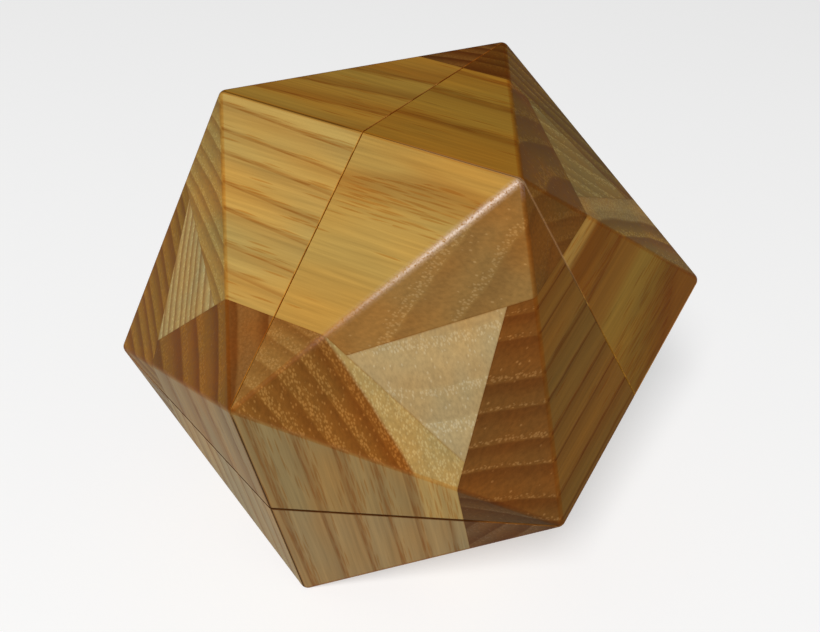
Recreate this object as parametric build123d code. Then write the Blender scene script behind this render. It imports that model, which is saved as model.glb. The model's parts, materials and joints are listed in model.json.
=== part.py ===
from build123d import *

import os
from itertools import product
from math import atan, degrees, sqrt

# Icosahedral 2 x 2 x 2 twisty puzzle in wood, all lengths in millimetres.
#
# Eight corner pieces turn past one another on three planes at right angles. Each corner piece is a pale
# cubelet, glued to three darker wood blocks that build it out to the icosahedron, with a foot inside that
# hooks it to a hidden six-armed mechanism.
#
# The puzzle is drawn square to its own turning planes with its centre at the origin, X to the right,
# Y to the back and Z up. It is then tipped back about X and lifted, so that it stands on one of its faces.
# The origin of the placed part is the middle of that resting face and +Z is up.

# Driving dimensions
CUBE_SIDE = 50.0  # side of the cube made by the eight pale cubelets
EDGE = 46.0  # edge of the finished icosahedron
EDGE_ROUND = 1.2  # radius the outside edges are sanded to
SEAM_GAPS = (0.12, 0.12, 0.3)  # open joints across X, Y and Z; the halves slide over each other at the last
SEAM_BREAK = 0.05  # depth taken off the sharp edges along each open joint

# The icosahedron
GOLDEN = (1 + sqrt(5)) / 2
HALF_EDGE = EDGE / 2
LONG_REACH = GOLDEN * HALF_EDGE  # distance of each edge from the centre
FACE_REACH = GOLDEN**2 / sqrt(3) * HALF_EDGE  # distance of each face from the centre
LEAN = degrees(atan(1 / GOLDEN**2))  # tip that brings one face flat to the ground
CUBE_HALF = CUBE_SIDE / 2
FAR = EDGE * 2  # beyond the puzzle in any direction

# The hidden mechanism: balls mark its levels, and flat cuts part each level into pieces
SLIP = 0.15  # clearance between hidden pieces
CORE_RADIUS = 9.5
FOOT_RADIUS = 14.5  # top of the level that holds the feet
MECHANISM_RADIUS = 19.5  # top of the level that covers the feet
FOOT_CUT = 4.6  # distance from the centre of the cuts in the foot level
COVER_CUT = 6.6  # the same in the level above, further out so that it laps over the feet

# Pegs that hold the feet in the cubelets
PEG_DIAMETER = 8.0
PEG_LENGTH = 6.0
PEG_ROOT = 1.5  # overlap of the peg with its foot

# Screw, washer and spring on each of the six arms
SCREW_DIAMETER = 3.0
SCREW_HOLE_SLACK = 0.2  # on the diameter, where a centre turns on its screw
SCREW_DEPTH = 6.0  # length of the screw inside the core
HEAD_DIAMETER = 5.2
HEAD_HEIGHT = 2.0
SOCKET_ACROSS = 2.0
SOCKET_DEPTH = 1.2
WASHER_DIAMETER = 6.2
WASHER_THICKNESS = 0.5
SEAT_DIAMETER = 6.8  # counterbore in each centre
SEAT_FLOOR = 11.6  # distance of the counterbore's floor from the centre of the puzzle
SPRING_WIRE = 0.5
SPRING_DIAMETER = 4.8  # across the middle of the wire
SPRING_LENGTH = 4.5
SPRING_TURNS = 5
SPRING_SEATING = 0.05  # gap left at each end of the spring

# Pins that tie one corner piece to the three inner edges beside it
KEY_PIN_DIAMETER = 1.5
KEY_PIN_START = 3.0  # distance of the near end of each pin from the mid-plane it crosses
KEY_PIN_LENGTH = 6.0
KEY_PIN_OFFSET = 10.6  # distance of each pin from the other two mid-planes
KEYED_CORNER = (-1, 1, -1)

SIDE_NAMES = (("left", "right"), ("front", "back"), ("lower", "upper"))
WOOD_NAMES = ("side", "face", "cap")  # the block outside the cube along X, Y and Z


def name_of(position):
    """Words for a place in the puzzle, such as upper_right_front for the place (1, -1, 1)."""
    words = []
    for axis in (2, 0, 1):
        if position[axis]:
            words.append(SIDE_NAMES[axis][position[axis] > 0])
    return "_".join(words)


def places(how_many):
    """Every place that lies off the given number of mid-planes: 3 for corners, 2 for edges, 1 for centres."""
    return [p for p in product((-1, 0, 1), repeat=3) if sum(map(abs, p)) == how_many]


def box_between(low, high):
    """Box with opposite corners at low and high."""
    size = [b - a for a, b in zip(low, high)]
    middle = [(a + b) / 2 for a, b in zip(low, high)]
    return Pos(*middle) * Box(*size)


def box_beyond(position, near, far, across):
    """Box from near to far on every side the position names, and across wide about the other mid-planes."""
    spans = []
    for sign in position:
        if sign:
            spans.append(sorted((sign * near, sign * far)))
        else:
            spans.append((-across, across))
    return box_between([span[0] for span in spans], [span[1] for span in spans])


def mirrored_to(shape, position):
    """A shape drawn for the corner (1, 1, 1), mirrored to another corner."""
    for sign, plane in zip(position, (Plane.YZ, Plane.XZ, Plane.XY)):
        if sign < 0:
            shape = mirror(shape, about=plane)
    return shape


def placed(shape):
    """Tips and lifts a shape from the puzzle's own axes to where it stands."""
    return Pos(0, 0, FACE_REACH) * Rot(LEAN, 0, 0) * shape


def icosahedron_corners(scale):
    """The twelve vertices, in three rectangles that each lie in one of the turning planes."""
    corners = []
    for a, b in product((-1, 1), repeat=2):
        short_side = a * scale
        long_side = b * scale * GOLDEN
        corners.append((short_side, 0, long_side))
        corners.append((long_side, short_side, 0))
        corners.append((0, long_side, short_side))
    return corners


def icosahedron(scale):
    """Solid icosahedron with edges twice the scale."""
    corners = [Vector(*c) for c in icosahedron_corners(scale)]
    one_edge = 2.5 * scale  # corners one edge apart are 2 scales away, and the next ones 3.2
    faces = []
    for i, a in enumerate(corners):
        for j in range(i + 1, len(corners)):
            for k in range(j + 1, len(corners)):
                b, c = corners[j], corners[k]
                sides = ((a - b).length, (b - c).length, (c - a).length)
                if max(sides) < one_edge:
                    faces.append(Face(Wire.make_polygon([a, b, c], close=True)))
    return Solid(Shell(faces))


def rounded_icosahedron():
    """The outside of the whole puzzle, with its edges and vertices sanded round."""
    inner_scale = HALF_EDGE * (1 - EDGE_ROUND / FACE_REACH)
    return offset(icosahedron(inner_scale), amount=EDGE_ROUND, kind=Kind.ARC)


def face_normals():
    """Outward normals of the three faces of the corner (1, 1, 1) that its neighbours share."""
    return [
        Vector(0, 1 / GOLDEN, GOLDEN).normalized(),
        Vector(GOLDEN, 0, 1 / GOLDEN).normalized(),
        Vector(1 / GOLDEN, GOLDEN, 0).normalized(),
    ]


def seam_cutter(axis, face_normal):
    """Half-space that takes the sharp edge off one seam, where a flat cut meets a face."""
    cut_normal = Vector(*[-1 if i == axis else 0 for i in range(3)])
    lean = (face_normal + cut_normal).normalized()
    along = cut_normal.cross(face_normal).normalized()
    on_cut = cut_normal.cross(along)
    on_cut = on_cut * (1 / on_cut.dot(face_normal))
    cut_reach = -SEAM_GAPS[axis] / 2
    corner = cut_normal * cut_reach + on_cut * (FACE_REACH - cut_reach * cut_normal.dot(face_normal))
    return Plane(origin=corner - lean * SEAM_BREAK, z_dir=lean) * (Pos(0, 0, FAR / 2) * Box(FAR, FAR, FAR))


def corner_form(outside):
    """The outside of the corner piece at (1, 1, 1), cut clear of its neighbours with its edges broken."""
    form = outside & box_between([gap / 2 for gap in SEAM_GAPS], (FAR, FAR, FAR))
    for axis in range(3):
        for face_normal in face_normals():
            components = (face_normal.X, face_normal.Y, face_normal.Z)
            if components[axis] < max(components):
                form -= seam_cutter(axis, face_normal)
    return form


def wood_block(form, axis):
    """Outer wood block of the corner (1, 1, 1) that lies outside the cube along one axis."""
    low = [0.0, 0.0, 0.0]
    high = [FAR, FAR, FAR]
    low[axis] = CUBE_HALF
    high[axis - 1] = CUBE_HALF
    return form & box_between(low, high)


def along_diagonal(shape, distance):
    """Turns a shape drawn along Z to the diagonal of the corner (1, 1, 1), starting at a distance."""
    out = Vector(1, 1, 1).normalized()
    return Plane(origin=out * distance, z_dir=out) * shape


def peg(start, end):
    """Round peg on the diagonal of the corner (1, 1, 1)."""
    drawn = Cylinder(PEG_DIAMETER / 2, end - start, align=(Align.CENTER, Align.CENTER, Align.MIN))
    return along_diagonal(drawn, start)


def pocket_radius():
    """Radius of the hollow in the cubelets that takes the mechanism."""
    return MECHANISM_RADIUS + SLIP / 2


def cubelet(form):
    """Pale cubelet of the corner (1, 1, 1): hollowed for the mechanism and drilled for its foot's peg."""
    block = form & box_between((0, 0, 0), (CUBE_HALF, CUBE_HALF, CUBE_HALF))
    hole = peg(pocket_radius() - PEG_ROOT, pocket_radius() + PEG_LENGTH)
    return block - Sphere(pocket_radius()) - hole


def shell_between(inner, outer):
    """Hollow ball."""
    return Sphere(outer) - Sphere(inner)


def hidden_piece(position, top):
    """Mechanism piece: a cover lapping over its neighbours' feet, a stalk, and a foot reaching under them."""
    gap = SLIP / 2
    bottom = CORE_RADIUS + SLIP
    cover = box_beyond(position, COVER_CUT + gap, FAR, COVER_CUT - gap)
    cover = cover & shell_between(FOOT_RADIUS + gap, top)
    stalk = box_beyond(position, COVER_CUT + gap, FAR, FOOT_CUT - gap)
    stalk = stalk & shell_between(bottom, top)
    foot = box_beyond(position, FOOT_CUT + gap, FAR, FOOT_CUT - gap)
    foot = foot & shell_between(bottom, FOOT_RADIUS - gap)
    return cover + stalk + foot


def corner_foot():
    """Foot of the corner (1, 1, 1), with the peg that is glued into its cubelet."""
    grip = hidden_piece((1, 1, 1), pocket_radius())
    return grip + peg(pocket_radius() - PEG_ROOT, pocket_radius() + PEG_LENGTH)


def along_arm(shape, position):
    """Turns a shape drawn along +Z to the arm of the mechanism that points at a centre's place."""
    return Plane(origin=(0, 0, 0), z_dir=position) * shape


def rod(diameter, start, end):
    """Cylinder on the Z axis between two heights."""
    drawn = Cylinder(diameter / 2, end - start, align=(Align.CENTER, Align.CENTER, Align.MIN))
    return Pos(0, 0, start) * drawn


def centre(position):
    """Hidden centre, counterbored for its spring and free to turn on its screw."""
    seat = rod(SEAT_DIAMETER, SEAT_FLOOR, FAR)
    screw_hole = rod(SCREW_DIAMETER + SCREW_HOLE_SLACK, 0, FAR)
    return hidden_piece(position, MECHANISM_RADIUS - SLIP / 2) - along_arm(seat + screw_hole, position)


def core():
    """Ball at the heart of the puzzle, with a blind screw hole on each arm."""
    ball = Sphere(CORE_RADIUS)
    for arm in places(1):
        ball -= along_arm(rod(SCREW_DIAMETER, CORE_RADIUS - SCREW_DEPTH, FAR), arm)
    return ball


def washer_height():
    """Distance from the centre of the puzzle to the underside of each washer."""
    return SEAT_FLOOR + SPRING_LENGTH + 2 * SPRING_SEATING


def screw():
    """Screw along +Z with a hexagon socket in its head."""
    head_base = washer_height() + WASHER_THICKNESS
    head_top = head_base + HEAD_HEIGHT
    shank = rod(SCREW_DIAMETER, CORE_RADIUS - SCREW_DEPTH, head_base)
    head = rod(HEAD_DIAMETER, head_base, head_top)
    socket_outline = RegularPolygon(SOCKET_ACROSS / 2, 6, major_radius=False)
    socket = extrude(Pos(0, 0, head_top - SOCKET_DEPTH) * socket_outline, SOCKET_DEPTH)
    return shank + head - socket


def washer():
    """Flat washer under a screw head on +Z."""
    base = washer_height()
    top = base + WASHER_THICKNESS
    hole = rod(SCREW_DIAMETER + SCREW_HOLE_SLACK, base, top)
    return rod(WASHER_DIAMETER, base, top) - hole


def spring():
    """Compression spring around a screw on +Z."""
    rise = SPRING_LENGTH - SPRING_WIRE
    path = Helix(rise / SPRING_TURNS, rise, SPRING_DIAMETER / 2)
    start = Plane(origin=path @ 0, z_dir=path % 0)
    coil = sweep(start * Circle(SPRING_WIRE / 2), path=path)
    return Pos(0, 0, SEAT_FLOOR + SPRING_SEATING + SPRING_WIRE / 2) * coil


def on_every_arm(make):
    """One copy of a fastener on each of the six arms."""
    pattern = make()
    return [along_arm(pattern, arm) for arm in places(1)]


def key_pins():
    """Three pins, each parallel to one axis, that lock one foot to the inner edges beside it."""
    pins = []
    for axis in range(3):
        start = [KEY_PIN_OFFSET * sign for sign in KEYED_CORNER]
        start[axis] = KEY_PIN_START * KEYED_CORNER[axis]
        direction = [0, 0, 0]
        direction[axis] = KEYED_CORNER[axis]
        pin = rod(KEY_PIN_DIAMETER, 0, KEY_PIN_LENGTH)
        pins.append(Plane(origin=start, z_dir=direction) * pin)
    return pins


def save(name, solids):
    """Writes one node as its own STEP file."""
    shapes = [placed(s) for s in solids]
    whole = shapes[0] if len(shapes) == 1 else Compound(children=shapes)
    export_step(whole, f"parts/{name}.step")


def save_corner_pieces():
    """Eight corner pieces: a cubelet and three wood blocks each."""
    form = corner_form(rounded_icosahedron())
    pale = cubelet(form)
    blocks = [wood_block(form, axis) for axis in range(3)]
    for position in places(3):
        save(f"cubelet_{name_of(position)}", [mirrored_to(pale, position)])
        for kind, block in zip(WOOD_NAMES, blocks):
            save(f"wood_{kind}_{name_of(position)}", [mirrored_to(block, position)])


def save_feet(pins):
    """Feet of the corner pieces, four to each half of the puzzle."""
    drawn = corner_foot()
    for level, half in ((1, "upper"), (-1, "lower")):
        feet = []
        for position in places(3):
            if position[2] != level:
                continue
            foot = mirrored_to(drawn, position)
            if position == KEYED_CORNER:
                foot = foot - pins
            feet.append(foot)
        save(f"corner_feet_{half}", feet)


def is_keyed(position):
    """True for the three inner edges beside the keyed corner."""
    return all(sign in (0, keyed) for sign, keyed in zip(position, KEYED_CORNER))


def save_mechanism():
    """Everything hidden inside the cubelets."""
    pins = key_pins()
    save("core", [core()])
    for position in places(1):
        save(f"centre_{name_of(position)}", [centre(position)])
    for position in places(2):
        edge = hidden_piece(position, MECHANISM_RADIUS - SLIP / 2)
        if is_keyed(position):
            edge = edge - pins
        save(f"inner_edge_{name_of(position)}", [edge])
    save_feet(pins)
    save("key_pins", pins)
    save("arm_screws", on_every_arm(screw))
    save("arm_washers", on_every_arm(washer))
    save("arm_springs", on_every_arm(spring))


os.makedirs("parts", exist_ok=True)
save_corner_pieces()
save_mechanism()
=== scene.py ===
import json
import math
from dataclasses import dataclass

import bpy
from mathutils import Matrix, Vector

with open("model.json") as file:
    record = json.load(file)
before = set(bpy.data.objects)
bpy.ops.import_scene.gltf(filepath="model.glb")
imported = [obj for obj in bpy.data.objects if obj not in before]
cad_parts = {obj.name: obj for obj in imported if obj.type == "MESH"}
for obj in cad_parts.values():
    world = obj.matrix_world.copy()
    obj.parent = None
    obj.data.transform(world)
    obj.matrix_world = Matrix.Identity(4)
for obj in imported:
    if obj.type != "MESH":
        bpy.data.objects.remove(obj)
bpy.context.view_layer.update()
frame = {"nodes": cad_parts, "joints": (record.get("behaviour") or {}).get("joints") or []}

# ---------------------------------------------------------------------------
# The puzzle's own axes. The joint turns about the puzzle's upright axis, which leans because the puzzle
# stands on one face. Lengths in the scene are metres; the figure of the wood is worked out in millimetres,
# in the puzzle's own axes: X right, Y back, Z up along the turning axis.

MM = 0.001
GOLDEN = (1 + math.sqrt(5)) / 2
JOINT = frame["joints"][0]
PUZZLE_CENTRE = Vector(JOINT["pos_m"])
LEAN = math.atan2(-JOINT["axis"][1], JOINT["axis"][2])
HALF_EDGE = 23.0  # half of one edge of the icosahedron
CUBE_HALF = 25.0  # the pale cube inside the wood runs this far each way

# ---------------------------------------------------------------------------
# Camera, floor and light

# Angles are in degrees, lengths in metres unless they say millimetres

VIEW_AZIMUTH = 29.5
VIEW_ELEVATION = 32.3
VIEW_ROLL = 2.8
VIEW_DISTANCE = 0.2045
AIM_SHIFT = Vector((0.0007, 0.0003, -0.0003))  # from the puzzle's centre to where the camera looks
LENS_MM = 59.9
SENSOR_MM = 36.0
NEAR_CLIP = 0.01

FLOOR_HALF = 3.0
FLOOR_COLOUR = (0.55, 0.55, 0.55, 1.0)
FLOOR_ROUGHNESS = 0.8
FLOOR_GLOW = 0.48  # keeps the floor pale out to its far edge
SKY_STRENGTH = 0.12  # what the sky gives as a light
BACKDROP_STRENGTH = 0.85  # what the camera sees of it
WHITE = (1.0, 1.0, 1.0, 1.0)
KEY_AZIMUTH = 19.5
KEY_ELEVATION = 42.0
KEY_DISTANCE = 1.5
KEY_SIZE = 0.35
KEY_POWER = 23.0  # watts


def direction(azimuth, elevation):
    """Unit vector from the puzzle. Azimuth is counted from the front towards +X, both in degrees."""
    a = math.radians(azimuth)
    e = math.radians(elevation)
    return Vector((math.sin(a) * math.cos(e), -math.cos(a) * math.cos(e), math.sin(e)))


def add_object(name, data):
    """New object in the scene."""
    made = bpy.data.objects.new(name, data)
    bpy.context.scene.collection.objects.link(made)
    return made


def add_camera():
    """Camera that looks down at the puzzle, rolled a little about its line of sight."""
    camera = add_object("camera", bpy.data.cameras.new("camera"))
    camera.data.lens = LENS_MM
    camera.data.sensor_width = SENSOR_MM
    camera.data.clip_start = NEAR_CLIP
    camera.location = PUZZLE_CENTRE + direction(VIEW_AZIMUTH, VIEW_ELEVATION) * VIEW_DISTANCE
    sight = PUZZLE_CENTRE + AIM_SHIFT - camera.location
    aim = sight.to_track_quat("-Z", "Y").to_matrix()
    roll = Matrix.Rotation(math.radians(VIEW_ROLL), 3, "Z")
    camera.rotation_euler = (aim @ roll).to_euler()
    bpy.context.scene.camera = camera


def add_key_light():
    """Soft square lamp in front of the puzzle and above it."""
    lamp = add_object("key_light", bpy.data.lights.new("key_light", "AREA"))
    lamp.data.size = KEY_SIZE
    lamp.data.energy = KEY_POWER
    lamp.location = PUZZLE_CENTRE + direction(KEY_AZIMUTH, KEY_ELEVATION) * KEY_DISTANCE
    lamp.rotation_euler = (PUZZLE_CENTRE - lamp.location).to_track_quat("-Z", "Y").to_euler()


def add_sky():
    """Even white light from all round, dim as a light and pale as a backdrop."""
    world = bpy.data.worlds.new("studio")
    world.use_nodes = True
    nodes = world.node_tree.nodes
    background = nodes["Background"]
    background.inputs["Color"].default_value = WHITE
    seen = nodes.new("ShaderNodeLightPath")
    strength = nodes.new("ShaderNodeMapRange")
    strength.inputs["To Min"].default_value = SKY_STRENGTH
    strength.inputs["To Max"].default_value = BACKDROP_STRENGTH
    world.node_tree.links.new(seen.outputs["Is Camera Ray"], strength.inputs["Value"])
    world.node_tree.links.new(strength.outputs[0], background.inputs["Strength"])
    bpy.context.scene.world = world


def add_floor():
    """Plain pale floor, which glows a little."""
    s = FLOOR_HALF
    mesh = bpy.data.meshes.new("floor")
    mesh.from_pydata([(-s, -s, 0), (s, -s, 0), (s, s, 0), (-s, s, 0)], [], [(0, 1, 2, 3)])
    material = bpy.data.materials.new("floor")
    material.use_nodes = True
    shader = material.node_tree.nodes["Principled BSDF"]
    shader.inputs["Base Color"].default_value = FLOOR_COLOUR
    shader.inputs["Roughness"].default_value = FLOOR_ROUGHNESS
    shader.inputs["Emission Color"].default_value = WHITE
    shader.inputs["Emission Strength"].default_value = FLOOR_GLOW
    mesh.materials.append(material)
    add_object("floor", mesh)


# ---------------------------------------------------------------------------
# Node building


class Graph:
    """One material's nodes. Each call adds a node and returns the socket that the next one reads."""

    def __init__(self, name):
        self.material = bpy.data.materials.new(name)
        self.material.use_nodes = True
        self.tree = self.material.node_tree
        self.shader = self.tree.nodes["Principled BSDF"]

    def add(self, kind, inputs, **settings):
        """Node of a kind, with its settings, fed with sockets or plain values."""
        node = self.tree.nodes.new(kind)
        for name, value in settings.items():
            setattr(node, name, value)
        for name, value in inputs.items():
            self.feed(node.inputs[name], value)
        return node

    def feed(self, socket, value):
        """Links a socket, or sets a plain value."""
        if isinstance(value, bpy.types.NodeSocket):
            self.tree.links.new(value, socket)
        else:
            socket.default_value = value

    def math(self, operation, a, b=0.0, c=0.0):
        """One sum on plain numbers. MULTIPLY_ADD is a times b, plus c."""
        return self.add("ShaderNodeMath", {0: a, 1: b, 2: c}, operation=operation).outputs[0]

    def vector(self, operation, a, b=(0.0, 0.0, 0.0)):
        """One sum on vectors, part by part."""
        return self.add("ShaderNodeVectorMath", {0: a, 1: b}, operation=operation).outputs[0]

    def dot(self, a, b):
        """How far a reaches along b."""
        return self.add("ShaderNodeVectorMath", {0: a, 1: b}, operation="DOT_PRODUCT").outputs["Value"]

    def times(self, *factors):
        """All the factors multiplied together."""
        product = factors[0]
        for factor in factors[1:]:
            product = self.math("MULTIPLY", product, factor)
        return product

    def split(self, vector):
        """The three parts of a vector."""
        node = self.add("ShaderNodeSeparateXYZ", {0: vector})
        return [node.outputs[i] for i in range(3)]

    def length(self, vector):
        """Length of a vector."""
        return self.add("ShaderNodeVectorMath", {0: vector}, operation="LENGTH").outputs["Value"]

    def join(self, x, y, z):
        """Vector of three numbers, or a colour."""
        return self.add("ShaderNodeCombineXYZ", {0: x, 1: y, 2: z}).outputs[0]

    def smooth(self, value, low, high):
        """0 below low, 1 above high, and smooth between."""
        inputs = {"Value": value, "From Min": low, "From Max": high}
        return self.add("ShaderNodeMapRange", inputs, interpolation_type="SMOOTHSTEP").outputs[0]

    def blend(self, amount, a, b, how="MIX"):
        """Colour between a and b."""
        inputs = {0: amount, 6: a, 7: b}
        return self.add("ShaderNodeMix", inputs, data_type="RGBA", blend_type=how).outputs[2]

    def noise(self, place, detail=2.0):
        """Soft noise round 0.5, one cell to each unit of place."""
        return self.add("ShaderNodeTexNoise", {"Vector": place, "Scale": 1.0, "Detail": detail}).outputs[0]

    def ramp(self, value, stops):
        """Colour by value, through stops of (value, colour)."""
        node = self.add("ShaderNodeValToRGB", {0: value})
        elements = node.color_ramp.elements
        while len(elements) < len(stops):
            elements.new(1.0)
        for element, (position, colour) in zip(elements, stops):
            element.position = position
            element.color = (*colour, 1.0)
        return node.outputs[0]


# ---------------------------------------------------------------------------
# Wood

X, Y, Z = 0, 1, 2
SLANT = 1 / math.sqrt(3)  # how squarely the face in the middle of a corner piece crosses any grain
SQUARE = GOLDEN / math.sqrt(3)  # the same at the tips, where the end grain shows
SHALLOW = 1 / (GOLDEN * math.sqrt(3))  # how squarely the faces at a tip cross the next grain
# The face normals of the icosahedron, with the signs dropped
FACE_NORMALS = ((SLANT, SLANT, SLANT), (SQUARE, 0.0, SHALLOW), (SHALLOW, SQUARE, 0.0), (0.0, SHALLOW, SQUARE))

# Names that end in CELLS count noise cells to a millimetre; of three, the last is along the grain. Names that
# end in FADE hold the two values between which something goes from none to all.
WANDER_CELLS = (0.09, 0.09, 0.015)
WANDER_REACH = 2.5  # millimetres from the farthest wander inwards to the farthest outwards, at a wobble of 1
UNEVEN_CELLS = 0.22
UNEVEN_RINGS = 0.9  # most that the uneven ring widths add up to, in rings
PATCH_CELLS = (0.1, 0.1, 0.03)
PATCH_FADE = (0.3, 0.7)
PATCH_SHARE = 0.8  # how much of the warm and cool tints the patches take
WARM_TINT = (1.16, 1.0, 0.76, 1.0)
COOL_TINT = (0.9, 1.0, 1.12, 1.0)
TONE_CELLS = 0.35
FIBRE_CELLS = (2.4, 2.4, 0.07)
FIBRE_CONTRAST = 0.6  # from the darkest fibre to the lightest

# Within each ring, counted from 0 at its start to 1 at its end
EARLY_CORE = 0.4  # share of the early wood where the pores are thickest
LATE_FADE = (0.25, 0.9)  # the late wood darkens outwards
RING_END_FADE = (1.0, 0.92)
LINE_FADE = (0.93, 1.0)  # the ring line starts here and ends in the next ring's early wood
LINE_TAIL = 0.7  # share of that early wood
STREAK_SHARE = 0.5  # darkness of the late wood along the grain, over that across it

PORE_PITCH = 0.28  # millimetres between pores
PORE_STRETCH = 16.0  # length of a pore over its width
PORE_FADE = (0.65, 0.25)  # distance from a pore's middle, in pitches
EARLY_PORES = 0.85  # share of the places for a pore that hold one, in the early wood
END_GRAIN_FADE = (0.15, 0.55)  # by how squarely the face crosses the grain
SPECKLE_FADE = (1.2, 0.6)  # by the same: the bright pores are fainter where it crosses more squarely

ZONE_BLUR = 0.3  # half the width of the border of a zone of colour
RIM_FADE = (2.5, 0.8)  # how far inside the sapwood's border the dark rim starts, and where it is full
SAP_PORES = 0.6  # share of the places for a pore that hold one, in the sapwood
SAP_SHADE_LOSS = 0.8  # how much fainter the figure is in the sapwood
SAP_SPECKLE_LOSS = 0.6  # and how much fainter its bright pores are

# Tints multiply the colour that they lie on, and the two colours after them are laid over it
LINE_TINT = (0.55, 0.34, 0.18)
PORE_TINT = (0.88, 0.72, 0.55)
SPECKLE_TINT = (2.0, 2.5, 3.8)
RIM_TINT = (0.88, 0.72, 0.55)
EDGE_TINT = (0.98, 0.82, 0.6)
GLUE_TINT = (0.88, 0.82, 0.75)
# painted shade for the joints, where the gaps are in shadow
SEAM_SHADE_TINT = (0.3, 0.25, 0.2)
# painted light that lifts the shade in the upper joint
SEAM_LIGHT_TINT = (1.9, 1.8, 1.4)
LIP_COLOUR = (0.26, 0.18, 0.1)
# colour of the highlight painted beside the shining edge
HIGHLIGHT_COLOUR = (0.5, 0.36, 0.24)

# Edges, glue and joints
EDGE_FADE = (0.9998, 0.99)  # cosine of the angle from the nearest face's normal
GLUE_FADE = (0.16, 0.04)  # distance from the middle of a glue line
SIDE_CUT = 0.06  # the faces cut from top to bottom stand this far off the middle
TURN_CUT = 0.15  # and those of the two halves this far
LIP = 0.26  # width of the painted shade along each lip
SEAM_LIGHT_WIDTH = 0.5 * LIP  # how far the painted light in a joint reaches on each side of it
PALE_LIP = 0.7 * LIP  # and how far a pale lip does
SEAM_SHADE_TOP = 24.0  # height up to which shade is painted into the joint between left and right; above it light is painted in
SEAM_FADE_LENGTH = 4.0  # length over which the painted shade and light in the joints fade out
END_SEAM_SHADE = 0.6  # how dark the painted shade in the joint between front and back is, on the left
PALE_LIP_FADE = (22.0, 12.0)  # distance from the shining corner
PALE_LIP_SHARE = 0.4  # how much of the lip colour shows

# The shining edge: glossier lacquer, and a highlight painted beside it
SHINING_CORNER = (HALF_EDGE, 0.0, HALF_EDGE * GOLDEN)  # corner where the lacquer is glossiest, the painted highlight brightest and the joint's lips palest
NEXT_CORNER = (0.0, -HALF_EDGE * GOLDEN, HALF_EDGE)  # the edge between these two corners shines
SHINE_FADE = (38.0, 6.0)  # distance from the shining corner
SHINE_SIDE_FADE = (0.5, -0.5)  # the shine and the painted highlight end at the middle, where this edge does
GRIT_CELLS = (4.0, 4.0, 4.0)  # the same every way
GRIT_FADE = (0.2, 0.6)
POLISH_FADE = (2.5, 1.0)  # distance from the edge
# distance from the edge, for the painted highlight
HIGHLIGHT_FADE = (0.9, 0.3)
HIGHLIGHT_SHARE = 0.4  # how much of the painted highlight's colour shows

# The lacquer
COAT_ON_EDGE = 0.95  # added to the rest where the rubbed edge shines most
COAT_ELSEWHERE = 0.01
COAT_ROUGHNESS = 0.5
COAT_IOR = 1.9
SATIN_IOR = 1.08
SATIN_ROUGHNESS = 0.35
FIBRE_ROUGHNESS = 0.2  # most that the fibres add to the roughness
PORE_DEPTH = 0.6  # in bump heights
FIBRE_HEIGHT = 0.5
BUMP_STRENGTH = 0.25
BUMP_HEIGHT = 0.0001  # metres

# The mechanism: colour, roughness and how metallic
MECHANISM_PLASTIC = ((0.02, 0.02, 0.022), 0.4, 0.0)
CORE_PLASTIC = ((0.7, 0.7, 0.68), 0.4, 0.0)
PLATED_STEEL = ((0.6, 0.6, 0.62), 0.25, 1.0)
MOTTLE_CELLS = (900.0, 900.0, 900.0)  # to a metre
MOTTLE_ROUGHNESS = 0.15  # most that the mottle adds to the roughness
MOTTLE_SHADE = 0.8  # its darkest colour over its palest


@dataclass
class Wood:
    """The look of one block: colours in linear light, lengths in millimetres."""

    long: tuple  # colour along the grain
    slant: tuple  # colour where a face crosses the grain at a slant
    end: tuple  # colour of the end grain
    pith: tuple  # centre of the rings, across the grain
    ring: float = 2.6  # width of a growth ring
    early: float = 0.35  # share of each ring that is open-pored
    line: float = 0.6  # how dark the ring lines are along the grain
    band: float = 0.55  # how dark each ring's outer part is
    speckle: float = 0.5  # how bright the pores are on the end grain
    stray: float = 0.05  # share of the pores outside the open-pored part
    wobble: float = 0.5  # how far the rings wander
    drift: float = 0.0  # how far the rings stray along the grain
    tone: float = 0.3  # how unlike each other the rings are
    sap: float = 0.0  # distance of the sapwood from the pith, or 0 for none
    sap_colour: tuple = ()  # colour of the sapwood, where there is any
    rim: tuple = (1.0, 0.0)  # how dark the heartwood's rim beside it is, across the grain and along it
    pale: tuple = ()  # nearest and farthest reach from the pith of a band of paler heartwood, if any
    pale_colour: tuple = ()  # colour of that band


GOLD = {"long": (0.38, 0.22, 0.055), "slant": (0.24, 0.125, 0.034), "end": (0.16, 0.07, 0.016)}
BROWN = {"long": (0.17, 0.08, 0.02), "slant": (0.15, 0.065, 0.016), "end": (0.10, 0.047, 0.017)}
TAN = {"long": (0.25, 0.16, 0.07), "slant": (0.2, 0.095, 0.026), "end": (0.16, 0.08, 0.02)}


def even(colour):
    """The same colour whichever way the grain is crossed."""
    return {"long": colour, "slant": colour, "end": colour}


PALE = even((0.33, 0.22, 0.09))

CAPS = {
    "upper_left_front": Wood(
        (0.4, 0.25, 0.066), (0.3, 0.18, 0.04), (0.18, 0.08, 0.02), (-39, -48), 2.2, speckle=0.2, drift=0.03
    ),
    "upper_right_front": Wood(
        (0.38, 0.225, 0.052), (0.215, 0.108, 0.028), (0.129, 0.051, 0.008), (30, -36), 4.3,
        early=0.3, line=0.5, band=0.2, speckle=0.3, stray=0.02, wobble=0.8, tone=0.5,
    ),
    "upper_left_back": Wood(
        (0.35, 0.184, 0.027), (0.22, 0.11, 0.03), (0.15, 0.06, 0.015), (15, -85), 2.9,
        early=0.2, line=0.7, band=1.0, drift=0.06,
    ),
    "upper_right_back": Wood(
        (0.33, 0.163, 0.019), (0.17, 0.067, 0.004), (0.128, 0.054, 0.009), (-12, 4), 3.4, early=0.3, band=0.35
    ),
    "lower_left_front": Wood(**GOLD, pith=(60, 40)),
    "lower_right_front": Wood(**GOLD, pith=(-70, 30)),
    "lower_left_back": Wood(**TAN, pith=(30, 80)),
    "lower_right_back": Wood(**GOLD, pith=(-15, 60)),
}
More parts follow.
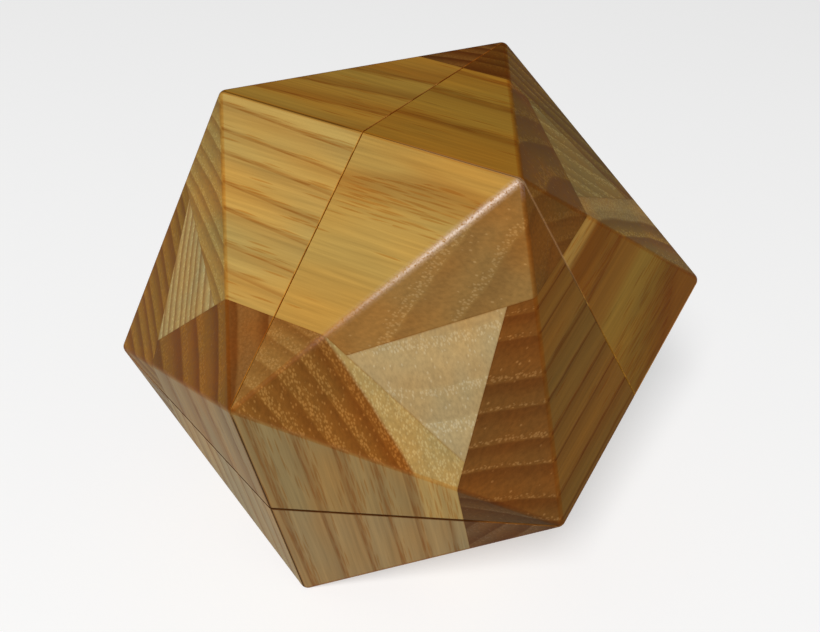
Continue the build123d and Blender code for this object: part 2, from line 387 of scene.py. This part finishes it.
SIDES = {
    "upper_left_front": Wood(
        (0.2, 0.1, 0.03), (0.226, 0.1, 0.009), (0.203, 0.117, 0.033), (-68, -35), 2.6, band=0.7, speckle=0.22
    ),
    "upper_right_front": Wood(
        (0.155, 0.071, 0.012), (0.127, 0.048, 0.009), (0.078, 0.039, 0.014), (-67, 15), 3.0,
        early=0.2, line=0.75, band=0.5, speckle=0.6, stray=0.02,
    ),
    "upper_left_back": Wood(**TAN, pith=(-70, 30)),
    "upper_right_back": Wood(
        (0.19, 0.08, 0.011), (0.23, 0.108, 0.012), (0.15, 0.08, 0.03), (20, 90), 3.2,
        line=0.5, band=0.7, drift=0.03, tone=0.8, sap=61.5, sap_colour=(0.3, 0.175, 0.042),
        rim=(0.0, 1.0), pale=(56.2, 58.0), pale_colour=(0.21, 0.108, 0.016),
    ),
    "lower_left_front": Wood((0.2, 0.1, 0.03), (0.2, 0.1, 0.03), (0.228, 0.151, 0.07), (70, -30)),
    "lower_right_front": Wood(**BROWN, pith=(60, -50)),
    "lower_left_back": Wood(**BROWN, pith=(45, 45)),
    "lower_right_back": Wood(**GOLD, pith=(60, -20)),
}
FACES = {
    "upper_left_front": Wood(
        (0.26, 0.171, 0.074), (0.193, 0.077, 0.006), (0.193, 0.075, 0.016), (-76, -73), 3.8,
        band=0.7, speckle=0.22,
    ),
    "upper_right_front": Wood(
        (0.227, 0.146, 0.054), (0.17, 0.062, 0.009), (0.25, 0.108, 0.022), (-12, -103), 3.0,
        early=0.55, line=0.5, band=0.35, speckle=0.55, stray=0.15, wobble=0.3, rim=(0.6, 0.0),
        sap=80.4, sap_colour=(0.3, 0.192, 0.062),
    ),
    "upper_left_back": Wood(
        (0.17, 0.08, 0.02), (0.15, 0.065, 0.016), (0.15, 0.06, 0.011), (17, -47), band=0.8
    ),
    "upper_right_back": Wood((0.22, 0.13, 0.05), (0.18, 0.086, 0.008), (0.126, 0.045, 0.005), (-2, 107), 2.6),
    "lower_left_front": Wood((0.3, 0.217, 0.104), (0.2, 0.1, 0.03), (0.18, 0.08, 0.02), (40, -60), 2.9),
    "lower_right_front": Wood(
        (0.226, 0.15, 0.064), (0.2, 0.1, 0.03), (0.18, 0.08, 0.02), (-12, -103), 3.0, line=0.55, band=0.35
    ),
    "lower_left_back": Wood(**GOLD, pith=(-30, 60)),
    "lower_right_back": Wood(**TAN, pith=(-60, -20)),
}
CUBELETS = {
    "upper_left_front": Wood(**even((0.347, 0.248, 0.09)), pith=(54, 5), ring=1.4, band=0.7, speckle=0.2),
    "upper_right_front": Wood(
        **even((0.315, 0.216, 0.094)), pith=(-31, 41), ring=3.4,
        band=0.12, speckle=0.18, stray=0.06, tone=0.75,
    ),
    "upper_left_back": Wood(**PALE, pith=(30, 60)),
    "upper_right_back": Wood(**even((0.246, 0.155, 0.034)), pith=(-20, 50), ring=3.0, band=0.25),
    "lower_left_front": Wood(**PALE, pith=(60, 30)),
    "lower_right_front": Wood(**PALE, pith=(-60, -30)),
    "lower_left_back": Wood(**PALE, pith=(30, -60)),
    "lower_right_back": Wood(**PALE, pith=(-30, 60)),
}
# First part of the name, looks, the axis that the grain runs along, and the axes across which glue shows
FAMILIES = (
    ("wood_cap_", CAPS, X, (Y, Z)),
    ("wood_side_", SIDES, Y, (X, Z)),
    ("wood_face_", FACES, Z, (X, Y)),
    ("cubelet_", CUBELETS, Z, (X, Y, Z)),
)


def puzzle_axes(graph):
    """Place in millimetres, and normal, both in the puzzle's own axes."""
    source = graph.add("ShaderNodeTexCoord", {})
    from_centre = graph.vector("SUBTRACT", source.outputs["Object"], PUZZLE_CENTRE)
    in_mm = graph.vector("MULTIPLY", from_centre, (1 / MM, 1 / MM, 1 / MM))
    upright = []
    for leaning in (in_mm, source.outputs["Normal"]):
        turn = {"Vector": leaning, "Angle": -LEAN}
        upright.append(graph.add("ShaderNodeVectorRotate", turn, rotation_type="X_AXIS").outputs[0])
    return upright


def log_axes(graph, place, grain):
    """Place with the grain along the last axis."""
    parts = graph.split(place)
    return graph.join(parts[(grain + 1) % 3], parts[(grain + 2) % 3], parts[grain])


def growth(graph, wood, log):
    """Distance from the pith with the wander of real rings, and the place within each ring from 0 to 1."""
    a, b, along = graph.split(log)
    from_a = graph.math("MULTIPLY_ADD", along, wood.drift, graph.math("SUBTRACT", a, wood.pith[0]))
    from_b = graph.math("MULTIPLY_ADD", along, wood.drift, graph.math("SUBTRACT", b, wood.pith[1]))
    radius = graph.length(graph.join(from_a, from_b, 0.0))
    wide = graph.noise(graph.vector("MULTIPLY", log, WANDER_CELLS), detail=3.0)
    swing = graph.math("SUBTRACT", wide, 0.5)
    wander = graph.math("MULTIPLY_ADD", swing, WANDER_REACH * wood.wobble, radius)
    outwards = graph.times(wander, UNEVEN_CELLS)
    uneven = graph.noise(graph.join(outwards, wood.pith[0], 0.0), detail=0.0)
    rings = graph.math("MULTIPLY_ADD", uneven, UNEVEN_RINGS, graph.math("DIVIDE", wander, wood.ring))
    return wander, graph.math("FRACT", rings)


def tinted(graph, amount, colour, tint):
    """Colour multiplied by a tint, as far as the amount says."""
    return graph.blend(amount, colour, graph.blend(1.0, colour, (*tint, 1.0), "MULTIPLY"))


def pale_heartwood(graph, wood, wander, colour):
    """The colour with the band of paler heartwood."""
    near, far = wood.pale
    past_near = graph.smooth(wander, near - ZONE_BLUR, near + ZONE_BLUR)
    short_of_far = graph.smooth(wander, far + ZONE_BLUR, far - ZONE_BLUR)
    return graph.blend(graph.times(past_near, short_of_far), colour, (*wood.pale_colour, 1.0))


def rimmed(graph, wood, wander, in_sap, open_end, colour):
    """The colour with the dark rim that the heartwood has against the sapwood."""
    start, full = RIM_FADE
    in_rim = graph.math("SUBTRACT", graph.smooth(wander, wood.sap - start, wood.sap - full), in_sap)
    across, along = wood.rim
    share = graph.math("MULTIPLY_ADD", open_end, across - along, along)
    return tinted(graph, graph.times(in_rim, share), colour, RIM_TINT)


def ring_shade(graph, wood, phase, open_end):
    """How dark the figure is: broad bands on the end grain, and thin lines and streaks along the grain."""
    late = graph.smooth(phase, *LATE_FADE)
    band = graph.times(late, graph.smooth(phase, *RING_END_FADE), wood.band)
    streak = graph.times(late, late, STREAK_SHARE * wood.band)
    tail = graph.smooth(phase, LINE_TAIL * wood.early, 0.0)
    line = graph.times(graph.math("MAXIMUM", tail, graph.smooth(phase, *LINE_FADE)), wood.line)
    along = graph.math("MAXIMUM", line, streak)
    return graph.math("MULTIPLY_ADD", open_end, graph.math("SUBTRACT", band, along), along)


def mottled(graph, wood, log, wander, fibre, colour):
    """The colour warmed and cooled in patches, and lighter or darker from ring to ring and fibre to fibre."""
    patch = graph.noise(graph.vector("MULTIPLY", log, PATCH_CELLS))
    cast = graph.blend(graph.smooth(patch, *PATCH_FADE), WARM_TINT, COOL_TINT)
    colour = graph.blend(PATCH_SHARE, colour, graph.blend(1.0, colour, cast, "MULTIPLY"))
    by_ring = graph.noise(graph.join(graph.times(wander, TONE_CELLS), wood.pith[1], 0.0), detail=1.0)
    by_ring = graph.math("MULTIPLY_ADD", graph.math("SUBTRACT", by_ring, 0.5), wood.tone, 1.0)
    by_fibre = graph.math("MULTIPLY_ADD", fibre, FIBRE_CONTRAST, 1 - 0.5 * FIBRE_CONTRAST)
    tone = graph.times(by_ring, by_fibre)
    return graph.blend(1.0, colour, graph.join(tone, tone, tone), "MULTIPLY")


def pores(graph, wood, log, phase, in_sap):
    """1 in the middle of each pore: most of them in the early wood and in the sapwood."""
    pitch = 1 / PORE_PITCH
    cells = graph.vector("MULTIPLY", log, (pitch, pitch, pitch / PORE_STRETCH))
    found = graph.add("ShaderNodeTexVoronoi", {"Vector": cells, "Scale": 1.0}, feature="F1")
    early = graph.smooth(phase, wood.early, EARLY_CORE * wood.early)
    share = graph.math("MULTIPLY_ADD", early, EARLY_PORES, wood.stray)
    share = graph.math("MAXIMUM", share, graph.times(in_sap, SAP_PORES))
    kept = graph.math("LESS_THAN", graph.split(found.outputs["Color"])[0], share)
    return graph.times(graph.smooth(found.outputs["Distance"], *PORE_FADE), kept)


def pored(graph, wood, pore, squareness, open_end, in_sap, colour):
    """The colour with its pores: bright dots on the end grain, and darker dashes along the grain."""
    fainter = graph.math("MULTIPLY_ADD", in_sap, -SAP_SPECKLE_LOSS, 1.0)
    speckle = graph.times(graph.smooth(squareness, *SPECKLE_FADE), wood.speckle, fainter)
    dashes = tinted(graph, 1.0, colour, PORE_TINT)
    dots = tinted(graph, speckle, colour, SPECKLE_TINT)
    return graph.blend(pore, colour, graph.blend(open_end, dashes, dots))


def rounded_edge(graph, normal):
    """1 on the sanded-round edges and 0 on the flat faces, by how far the normal is from any face's."""
    folded = graph.vector("ABSOLUTE", normal)
    nearest = 0.0
    for face in FACE_NORMALS:
        nearest = graph.math("MAXIMUM", nearest, graph.dot(folded, face))
    return graph.smooth(nearest, *EDGE_FADE)


def glue_lines(graph, place, borders):
    """1 on the thin lines where blocks are glued to each other."""
    parts = graph.split(graph.vector("ABSOLUTE", place))
    nearest = 1.0
    for axis in borders:
        gap = graph.math("ABSOLUTE", graph.math("SUBTRACT", parts[axis], CUBE_HALF))
        nearest = graph.math("MINIMUM", gap, nearest)
    return graph.smooth(nearest, *GLUE_FADE)


def joint_painted_shade(graph, place):
    """How much shade is painted on the lips of the joints, where the gaps are in shadow, each over the
    stretch of it that is darkened.
    """
    x, _, height = graph.split(place)
    off_middle = graph.split(graph.vector("ABSOLUTE", place))
    between_sides = graph.smooth(off_middle[X], SIDE_CUT + LIP, SIDE_CUT)
    low = graph.smooth(height, SEAM_SHADE_TOP, SEAM_SHADE_TOP - SEAM_FADE_LENGTH)
    between_ends = graph.smooth(off_middle[Y], SIDE_CUT + LIP, SIDE_CUT)
    left = graph.smooth(x, 0.0, -SEAM_FADE_LENGTH)
    between_halves = graph.smooth(off_middle[Z], TURN_CUT + LIP, TURN_CUT)
    inner = graph.smooth(off_middle[X], CUBE_HALF + SEAM_FADE_LENGTH, CUBE_HALF)
    seam_shade = graph.times(between_sides, low)
    seam_shade = graph.math("MAXIMUM", seam_shade, graph.times(between_ends, left, END_SEAM_SHADE))
    return graph.math("MAXIMUM", seam_shade, graph.times(between_halves, inner))


def joint_painted_light(graph, place):
    """1 where light is painted into the joint between left and right, to lift the shade in the gap; in the
    upper part only.
    """
    x, _, height = graph.split(place)
    in_joint = graph.smooth(graph.math("ABSOLUTE", x), SIDE_CUT + SEAM_LIGHT_WIDTH, SIDE_CUT)
    return graph.times(in_joint, graph.smooth(height, SEAM_SHADE_TOP - SEAM_FADE_LENGTH, SEAM_SHADE_TOP))


def off_corner(graph, place):
    """Distance from the shining corner."""
    return graph.length(graph.vector("SUBTRACT", place, SHINING_CORNER))


def pale_lips(graph, place):
    """How pale the lips of the joint between front and back are, close to the shining corner."""
    off_middle = graph.math("ABSOLUTE", graph.split(place)[Y])
    lips = graph.smooth(off_middle, SIDE_CUT + PALE_LIP, SIDE_CUT)
    return graph.times(graph.smooth(off_corner(graph, place), *PALE_LIP_FADE), lips, PALE_LIP_SHARE)


def gloss_and_highlight(graph, place, fade):
    """1 close to the shining edge, most of all at its upper corner, and never quite even: where the lacquer
    is glossy, and where the highlight beside the edge is painted.
    """
    across = Vector(SHINING_CORNER).cross(Vector(NEXT_CORNER)).normalized()
    off_edge = graph.math("ABSOLUTE", graph.dot(place, across))
    near_corner = graph.smooth(off_corner(graph, place), *SHINE_FADE)
    grit = graph.noise(graph.vector("MULTIPLY", place, GRIT_CELLS))
    in_front = graph.smooth(graph.split(place)[Y], *SHINE_SIDE_FADE)
    return graph.times(near_corner, graph.smooth(grit, *GRIT_FADE), in_front, graph.smooth(off_edge, *fade))


def aged_and_painted_light(graph, place, rounded, borders, colour):
    """The colour with what sanding and glue have done to it, its paler lips, painted shade and painted light
    in the joints, and a painted highlight beside the shining edge.
    """
    colour = tinted(graph, rounded, colour, EDGE_TINT)
    colour = tinted(graph, glue_lines(graph, place, borders), colour, GLUE_TINT)
    # painted shade in the joints
    colour = tinted(graph, joint_painted_shade(graph, place), colour, SEAM_SHADE_TINT)
    # painted light in the upper joint between left and right
    colour = tinted(graph, joint_painted_light(graph, place), colour, SEAM_LIGHT_TINT)
    colour = graph.blend(pale_lips(graph, place), colour, (*LIP_COLOUR, 1.0))
    # painted highlight in a strip beside the shining edge
    painted_highlight = graph.times(gloss_and_highlight(graph, place, HIGHLIGHT_FADE), HIGHLIGHT_SHARE)
    return graph.blend(painted_highlight, colour, (*HIGHLIGHT_COLOUR, 1.0))


def lacquer(graph, place, rounded, fibre, pore):
    """Satin surface with the grain just felt in it, and a shine on the rubbed edge."""
    inputs = graph.shader.inputs
    graph.feed(inputs["Roughness"], graph.math("MULTIPLY_ADD", fibre, FIBRE_ROUGHNESS, SATIN_ROUGHNESS))
    height = graph.math("MULTIPLY_ADD", pore, -PORE_DEPTH, graph.times(fibre, FIBRE_HEIGHT))
    grain = {"Height": height, "Strength": BUMP_STRENGTH, "Distance": BUMP_HEIGHT}
    graph.feed(inputs["Normal"], graph.add("ShaderNodeBump", grain).outputs[0])
    shine = graph.times(gloss_and_highlight(graph, place, POLISH_FADE), rounded)
    graph.feed(inputs["Coat Weight"], graph.math("MULTIPLY_ADD", shine, COAT_ON_EDGE, COAT_ELSEWHERE))
    inputs["IOR"].default_value = SATIN_IOR
    inputs["Coat Roughness"].default_value = COAT_ROUGHNESS
    inputs["Coat IOR"].default_value = COAT_IOR


def wood_material(name, wood, grain, borders):
    """Ring-porous wood under a satin lacquer, its rings running on through the block from face to face."""
    graph = Graph(name)
    place, normal = puzzle_axes(graph)
    log = log_axes(graph, place, grain)
    wander, phase = growth(graph, wood, log)
    squareness = graph.math("ABSOLUTE", graph.split(normal)[grain])
    open_end = graph.smooth(squareness, *END_GRAIN_FADE)
    shade = ring_shade(graph, wood, phase, open_end)
    fibre = graph.noise(graph.vector("MULTIPLY", log, FIBRE_CELLS), detail=3.0)
    in_sap = 0.0

    colour = graph.ramp(squareness, [(0.0, wood.long), (SLANT, wood.slant), (SQUARE, wood.end)])
    if wood.pale:
        colour = pale_heartwood(graph, wood, wander, colour)
    if wood.sap:
        in_sap = graph.smooth(wander, wood.sap - ZONE_BLUR, wood.sap + ZONE_BLUR)
        colour = rimmed(graph, wood, wander, in_sap, open_end, colour)
        colour = graph.blend(in_sap, colour, (*wood.sap_colour, 1.0))
        shade = graph.times(shade, graph.math("MULTIPLY_ADD", in_sap, -SAP_SHADE_LOSS, 1.0))
    colour = tinted(graph, shade, colour, LINE_TINT)
    colour = mottled(graph, wood, log, wander, fibre, colour)
    pore = pores(graph, wood, log, phase, in_sap)
    colour = pored(graph, wood, pore, squareness, open_end, in_sap, colour)
    rounded = rounded_edge(graph, normal)
    graph.feed(graph.shader.inputs["Base Color"], aged_and_painted_light(graph, place, rounded, borders, colour))
    lacquer(graph, place, rounded, fibre, pore)
    return graph.material


def plain_material(name, colour, roughness, metallic):
    """Moulded plastic or plated steel with a slight mottle."""
    graph = Graph(name)
    source = graph.add("ShaderNodeTexCoord", {})
    mottle = graph.noise(graph.vector("MULTIPLY", source.outputs["Object"], MOTTLE_CELLS), detail=3.0)
    darker = tuple(MOTTLE_SHADE * part for part in colour)
    inputs = graph.shader.inputs
    graph.feed(inputs["Base Color"], graph.blend(mottle, (*darker, 1.0), (*colour, 1.0)))
    graph.feed(inputs["Roughness"], graph.math("MULTIPLY_ADD", mottle, MOTTLE_ROUGHNESS, roughness))
    inputs["Metallic"].default_value = metallic
    return graph.material


def dress(node, material):
    """Gives a CAD node its material."""
    mesh = frame["nodes"][node].data
    mesh.materials.clear()
    mesh.materials.append(material)


def dress_wood():
    """One material to each block, because no two are cut from the same place."""
    for prefix, looks, grain, borders in FAMILIES:
        for place, wood in looks.items():
            node = prefix + place
            dress(node, wood_material(node, wood, grain, borders))


def dress_mechanism():
    """Plastic and steel inside."""
    plastic = plain_material("mechanism_plastic", *MECHANISM_PLASTIC)
    core = plain_material("core_plastic", *CORE_PLASTIC)
    steel = plain_material("plated_steel", *PLATED_STEEL)
    for node in frame["nodes"]:
        if node.startswith(("centre_", "inner_edge_", "corner_feet_")):
            dress(node, plastic)
        elif node == "core":
            dress(node, core)
        elif node.startswith("arm_") or node == "key_pins":
            dress(node, steel)


add_camera()
add_key_light()
add_sky()
add_floor()
dress_wood()
dress_mechanism()
bpy.context.scene.view_settings.view_transform = "Standard"
